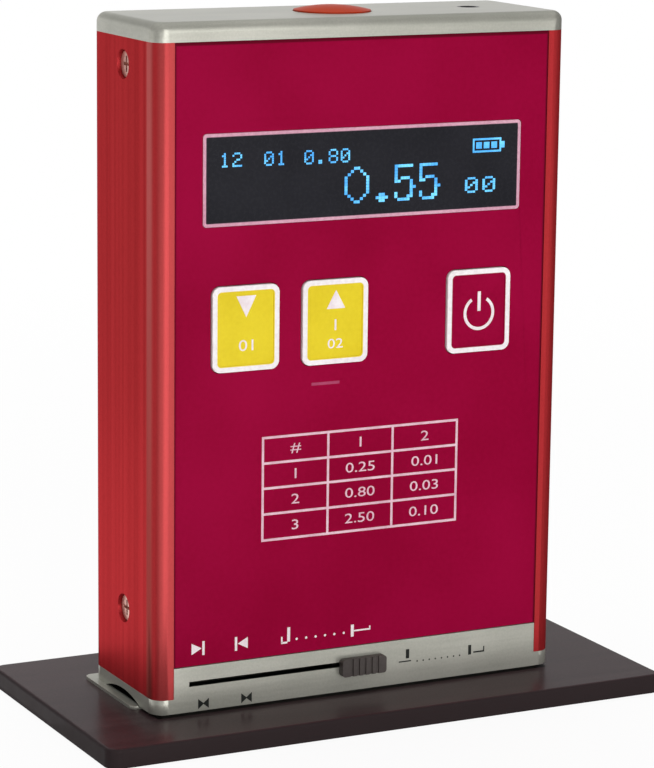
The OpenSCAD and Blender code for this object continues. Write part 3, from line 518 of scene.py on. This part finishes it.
# each row: its text, its left end and its top
display = {"reading": ("0.55", 31.45, 83.3), "readingPitch": (0.53, 0.47, 0.94), "readingStep": 4.3,
           "rows": (("12", 10.6, 86.4), ("01", 17.9, 86.3), ("0.80", 24.6, 86.2)),
           "rowPitch": (0.32, 0.31, 0.9), "rowStep": 2.05,
           "unit": ("00", 52.4, 80.7), "unitPitch": (0.46, 0.35, 0.92), "unitStep": 3.1}
y0, y1 = filmY - thin, filmY


# one row of dotted figures, a step apart; the pitch holds both spacings and the lit share of each
def figureRow(patterns, row, pitch, apart):
    text, x, z = row
    return [dots(patterns[c], x + k * apart, z, *pitch, y0, y1) for k, c in enumerate(text)]


glow = figureRow(tallDots, display["reading"], display["readingPitch"], display["readingStep"])
for row in display["rows"]:
    glow += figureRow(digitDots, row, display["rowPitch"], display["rowStep"])
glow += figureRow(digitDots, display["unit"], display["unitPitch"], display["unitStep"])

# charge mark: a thin case with three blocks, and a nub at its right end
charge = {"x": (53.65, 59.3), "z": (84.5, 86.7), "line": 0.3, "inset": 0.6,
          "blocks": 3, "block": 1.0, "apart": 1.35}
left, right = charge["x"]
low, high = charge["z"]
line, inset = charge["line"], charge["inset"]
glow.append(band(boxOutline(left, right - inset, low, high),
                 boxOutline(left + line, right - inset - line, low + line, high - line), y0, y1))
for x in left + inset + charge["apart"] * np.arange(charge["blocks"]):
    glow.append(slab(boxOutline(x, x + charge["block"], low + inset, high - inset), y0, y1))
glow.append(slab(boxOutline(right - inset, right, low + inset, high - inset), y0, y1))
addPiece("displayFigures", glow, glowFinish(), "tester")

table = {"x": (18.05, 29.2, 40.4, 51.8), "z": (26.3, 30.4, 34.45, 38.4, 42.4), "line": 0.38,
         "rows": (("#", "1", "2"), ("1", "0.25", "0.01"), ("2", "0.80", "0.03"), ("3", "2.50", "0.10")),
         "height": 1.55, "widen": 1.4}
half = table["line"] / 2
columns, levels = table["x"], table["z"]
ruled = [slab(boxOutline(x - half, x + half, levels[0] - half, levels[-1] + half), y0, y1) for x in columns]
ruled += [slab(boxOutline(columns[0], columns[-1], z - half, z + half), y0 - step, y1) for z in levels]
addPiece("tableLines", ruled, pinkPrint, "tester")
printed = []
for r, row in enumerate(table["rows"]):
    for c, text in enumerate(row):
        printed.append(figures(text, table["height"], (columns[c] + columns[c + 1]) / 2,
                               (levels[3 - r] + levels[4 - r]) / 2, y0, y1, table["widen"]))
addPiece("tableFigures", printed, pinkPrint, "tester")

# marks on the keys; figures are a text, its height and its middle
keyMarks = {"down": ((13.3, 64.7), (14.95, 61.4), (16.6, 64.7)), "downFigures": ("01", 1.7, 14.95, 57.1),
            "up": ((28.5, 61.7), (31.7, 61.7), (30.1, 64.6)),
            "upFigures": (("1", 1.7, 30.05, 59.2), ("02", 1.5, 30.05, 56.3)), "widen": 1.3,
            "powerRing": (55.2, 59.3, 2.25, 2.75, 122, 418), "powerBar": (54.92, 55.48, 59.6, 62.7)}
k0, k1 = keyY - thin, keyY
downMark = [slab(keyMarks["down"], k0, k1), figures(*keyMarks["downFigures"], k0, k1, keyMarks["widen"])]
addPiece("downMark", downMark, whitePrint, "down_key")
upMark = [slab(keyMarks["up"], k0, k1)]
upMark += [figures(*mark, k0, k1, keyMarks["widen"]) for mark in keyMarks["upFigures"]]
addPiece("upMark", upMark, whitePrint, "up_key")
powerMark = [slab(arc(*keyMarks["powerRing"]), k0, k1), slab(boxOutline(*keyMarks["powerBar"]), k0, k1)]
addPiece("powerMark", powerMark, whitePrint, "power_key")

# small white signs in a row above the apron, heights from the row's level: two end stops, a low hook and a
# tall bar, six dots, then a bar with a hooked line to its right
filmSigns = {"level": 10.4,
             "stops": (((6.2, -0.9), (7.9, 0.0), (6.2, 0.9)), ((14.0, 0.0), (15.7, -0.9), (15.7, 0.9))),
             "bars": ((8.0, 8.4, -1.1, 1.1), (13.5, 13.9, -1.1, 1.1), (22.45, 22.95, -0.7, 1.6),
                      (21.4, 22.5, -0.95, -0.65), (21.4, 21.65, -0.7, 0.2), (33.55, 34.05, -1.2, 0.75),
                      (34.0, 37.0, -0.4, -0.15), (36.75, 37.0, -0.2, 0.25)),
             "dots": (24.1, 32.3, 6), "dotDrop": 0.42, "dotRadius": 0.2}
level = filmSigns["level"]
signs = [slab(np.add(stop, (0, level)), y0, y1) for stop in filmSigns["stops"]]
for left, right, low, high in filmSigns["bars"]:
    signs.append(slab(boxOutline(left, right, level + low, level + high), y0, y1))
for x in np.linspace(*filmSigns["dots"]):
    signs.append(slab(disc(x, level - filmSigns["dotDrop"], filmSigns["dotRadius"]), y0, y1))
addPiece("filmSigns", signs, whitePrint, "tester")
keyLine = {"x": (26.2, 31.0), "z": (49.9, 50.35)}  # dim line under the second key
addPiece("keyLine", [slab(boxOutline(*keyLine["x"], *keyLine["z"]), y0, y1)], dimPrint, "tester")

# black signs on the apron: two end stops under the slot, and two stylus lines right of the knob
apronSigns = {"stops": (8.2, 15.5), "stopZ": (0.8, 1.6, 2.4), "stopHalf": 0.9, "stopCross": 0.1,
              "bars": ((43.35, 43.95, 4.5, 6.0), (42.1, 44.3, 3.95, 4.15), (54.65, 55.2, 3.75, 5.35),
                       (55.6, 57.6, 3.95, 4.2), (57.4, 57.6, 4.15, 4.9)),
              "dots": (45.4, 53.6, 1.1), "dotZ": 3.85, "dotRadius": 0.14}
a0, a1 = apronY - thin, apronY
low, tip, high = apronSigns["stopZ"]
wide, cross = apronSigns["stopHalf"], apronSigns["stopCross"]
marks = []
for x in apronSigns["stops"]:
    marks.append(slab([(x - wide, low), (x + cross, tip), (x - wide, high)], a0, a1))
    marks.append(slab([(x - cross, tip), (x + wide, low), (x + wide, high)], a0 - step, a1))
marks += [slab(boxOutline(*bar), a0, a1) for bar in apronSigns["bars"]]
for x in np.arange(*apronSigns["dots"]):
    marks.append(slab(disc(x, apronSigns["dotZ"], apronSigns["dotRadius"]), a0, a1))
addPiece("apronSigns", marks, blackPrint, "tester")
added = [o for o in scene.objects if o.type == "MESH" and o.name not in nodes]
print("prints:", len(added), "pieces,", sum(len(o.data.polygons) for o in added), "faces")


# Rounded edges on the CAD pieces: loose triangles are welded, then sharp edges get a small bevel
softEdges = {"widths": {"body_shell": 0.12, "bottom_cap": 0.12, "top_cap": 0.12, "shutter_knob": 0.15,
                        "key_down": 0.05, "key_up": 0.05, "key_power": 0.05, "front_overlay": 0.04,
                        "display_window": 0.04},
             "weld": 0.000001, "segments": 2, "angle": 40}
for name, width in softEdges["widths"].items():
    weld = nodes[name].modifiers.new("weld", "WELD")
    weld.merge_threshold = softEdges["weld"]
    bevel = nodes[name].modifiers.new("edge", "BEVEL")
    bevel.width, bevel.segments, bevel.limit_method = width * mm, softEdges["segments"], "ANGLE"
    bevel.angle_limit = math.radians(softEdges["angle"])
    bevel.harden_normals = True
print("edges:", len(softEdges["widths"]), "pieces")


# Camera: place in mm, turn about Z, tilt down and roll in radians, focal length in pixels of the long side
view = {"place": (-221.263, -436.846, 148.366), "yaw": 0.4677, "pitch": 0.1983, "roll": 0.0117,
        "focal": 3154.61, "longSide": 768, "sensor": 36.0, "clip": (0.01, 20.0)}
yaw, pitch, roll = view["yaw"], view["pitch"], view["roll"]
ahead = np.array((math.sin(yaw) * math.cos(pitch), math.cos(yaw) * math.cos(pitch), -math.sin(pitch)))
side = np.array((math.cos(yaw), -math.sin(yaw), 0.0))
up = np.cross(side, ahead)
right = math.cos(roll) * side + math.sin(roll) * up
top = -math.sin(roll) * side + math.cos(roll) * up
cameraData = bpy.data.cameras.new("camera")
cameraData.sensor_width = view["sensor"]
cameraData.lens = view["focal"] * view["sensor"] / view["longSide"]
cameraData.clip_start, cameraData.clip_end = view["clip"]
camera = bpy.data.objects.new("camera", cameraData)
turned = Matrix(np.stack([right, top, -ahead], 1).tolist()).to_4x4()
camera.matrix_world = Matrix.Translation(Vector(view["place"]) * mm) @ turned
scene.collection.objects.link(camera)
scene.camera = camera
print("camera:", round(cameraData.lens, 1), "mm lens")


# A flat stage piece from its corners in mm, with a material of its own
def stagePiece(name, corners, material):
    mesh = bpy.data.meshes.new(name)
    mesh.from_pydata([(x * mm, y * mm, z * mm) for x, y, z in corners], [], [tuple(range(len(corners)))])
    mesh.materials.append(material)
    piece = bpy.data.objects.new(name, mesh)
    scene.collection.objects.link(piece)
    return piece


# the empty node tree of a material or world, and its output
def bareTree(owner, kind):
    owner.use_nodes = True
    owner.node_tree.nodes.clear()
    return Flow(owner.node_tree), owner.node_tree.nodes.new("ShaderNodeOutput" + kind)


# 1 for what the camera sees, straight, reflected or through glass
def backgroundRays(flow):
    rays = flow.node("LightPath").socket.node
    kinds = ("Camera", "Glossy", "Transmission")
    seen, glossy, through = [Flow(flow.tree, rays.outputs["Is %s Ray" % kind]) for kind in kinds]
    return seen.larger(glossy).larger(through)


studio = {"floor": 6000, "floorColour": (0.86, 0.86, 0.86, 1), "white": (1, 1, 1, 1), "shadow": 0.08,
          "shadowReach": (0.12, 0.42), "sky": 0.38}

# Floor: white to the camera and to reflections; near the object it keeps part of its own shading,
# for the shadow
floorMaterial = bpy.data.materials.new("paleFloor")
flow, output = bareTree(floorMaterial, "Material")
place = flow.node("TexCoord", out="Object")
away = flow.node("VectorMath", {"operation": "LENGTH"}, {0: place}, 1)
keep = (1 - away.rise(*studio["shadowReach"])) * studio["shadow"]
plain = flow.node("BsdfDiffuse", {}, {"Color": studio["floorColour"]})
white = flow.node("Emission", {}, {"Color": studio["white"], "Strength": 1.0})
mixed = flow.node("MixShader", {}, {0: backgroundRays(flow) * (1 - keep), 1: plain, 2: white})
flow.tree.links.new(mixed.socket, output.inputs["Surface"])
span = studio["floor"]
stagePiece("floor", [(-span, -span, 0), (span, -span, 0), (span, span, 0), (-span, span, 0)], floorMaterial)

# World: soft grey light on the object, white to the camera and to reflections
world = bpy.data.worlds.new("studio")
scene.world = world
flow, output = bareTree(world, "World")
soft = flow.node("Background", {}, {"Color": studio["white"], "Strength": studio["sky"]})
white = flow.node("Background", {}, {"Color": studio["white"], "Strength": 1.0})
mixed = flow.node("MixShader", {}, {0: backgroundRays(flow), 1: soft, 2: white})
flow.tree.links.new(mixed.socket, output.inputs["Surface"])


# distances in mm: where a card starts and ends, how high it stands, and how far it clears the floor
cardPlan = {"near": 20, "far": 900, "height": 700, "clear": 0.6, "sideFar": 230,
            "ceilingX": 4000, "ceilingY": (-4000, 2400), "ceilingZ": 720}


# Reflection cards: only glossy rays meet them
def card(name, pieces, strength):
    material = bpy.data.materials.new(name)
    flow, output = bareTree(material, "Material")
    glowing = flow.node("Emission", {}, {"Color": studio["white"], "Strength": strength})
    flow.tree.links.new(glowing.socket, output.inputs["Surface"])
    for corners in pieces:
        piece = stagePiece(name, corners, material)
        piece.visible_camera = piece.visible_diffuse = piece.visible_shadow = False
        piece.visible_transmission = piece.visible_volume_scatter = False


# A card lies on the floor round a front corner of the case, between two bearings and two distances, and with
# a height it also stands up at its far end; bearings are degrees from the front round to the left. A point is
# the corner moved by its distance times the sine and cosine of its bearing.
def screen(x, start, end, far=cardPlan["far"], height=cardPlan["height"]):
    near, clear = cardPlan["near"], cardPlan["clear"]
    turn = np.radians((start, start, end, end))
    parts = [(np.array((near, far, far, near)), np.full(4, clear))]
    if height:
        parts.append((np.full(4, far), np.array((clear, height, height, clear))))
    return [np.stack([x - reach * np.sin(turn), corner[1] - reach * np.cos(turn), z], 1).tolist()
            for reach, z in parts]


wide, (front, back), above = cardPlan["ceilingX"], cardPlan["ceilingY"], cardPlan["ceilingZ"]
ceiling = [(-wide, front, above), (-wide, back, above), (wide, back, above), (wide, front, above)]
caseWidth = 70
cards = (("frontCard", screen(corner[0], -21, 16), 2.9), ("leftCard", screen(corner[0], 50, 96), 0.5),
         ("sideCard", screen(corner[0], 112, 178, cardPlan["sideFar"], 0), 1.5),
         ("rightCard", screen(corner[0] + caseWidth, -140, -46), 0.05), ("ceiling", [ceiling], 0.42))
for name, pieces, strength in cards:
    card(name, pieces, strength)

# Lamps: name, place and aim in mm, size in mm, watts; reflections come from the cards
lamps = (("keyLamp", (-120, -1600, 330), (0, 0, 45), (900, 500), 11.9),
         ("fillLamp", (620, -520, 160), (0, 0, 45), (420, 420), 0.28),
         ("topLamp", (0, 120, 560), (0, 0, 55), (500, 500), 2.25))
for name, place, aim, size, watts in lamps:
    lamp = bpy.data.lights.new(name, "AREA")
    lamp.shape, lamp.size, lamp.size_y, lamp.energy = "RECTANGLE", size[0] * mm, size[1] * mm, watts
    holder = bpy.data.objects.new(name, lamp)
    aimed = (Vector(aim) - Vector(place)).to_track_quat("-Z", "Y").to_matrix().to_4x4()
    holder.matrix_world = Matrix.Translation(Vector(place) * mm) @ aimed
    holder.visible_glossy = False
    scene.collection.objects.link(holder)

scene.view_settings.view_transform = "Standard"
print("studio:", len(lamps), "lamps,", len(cards), "cards")
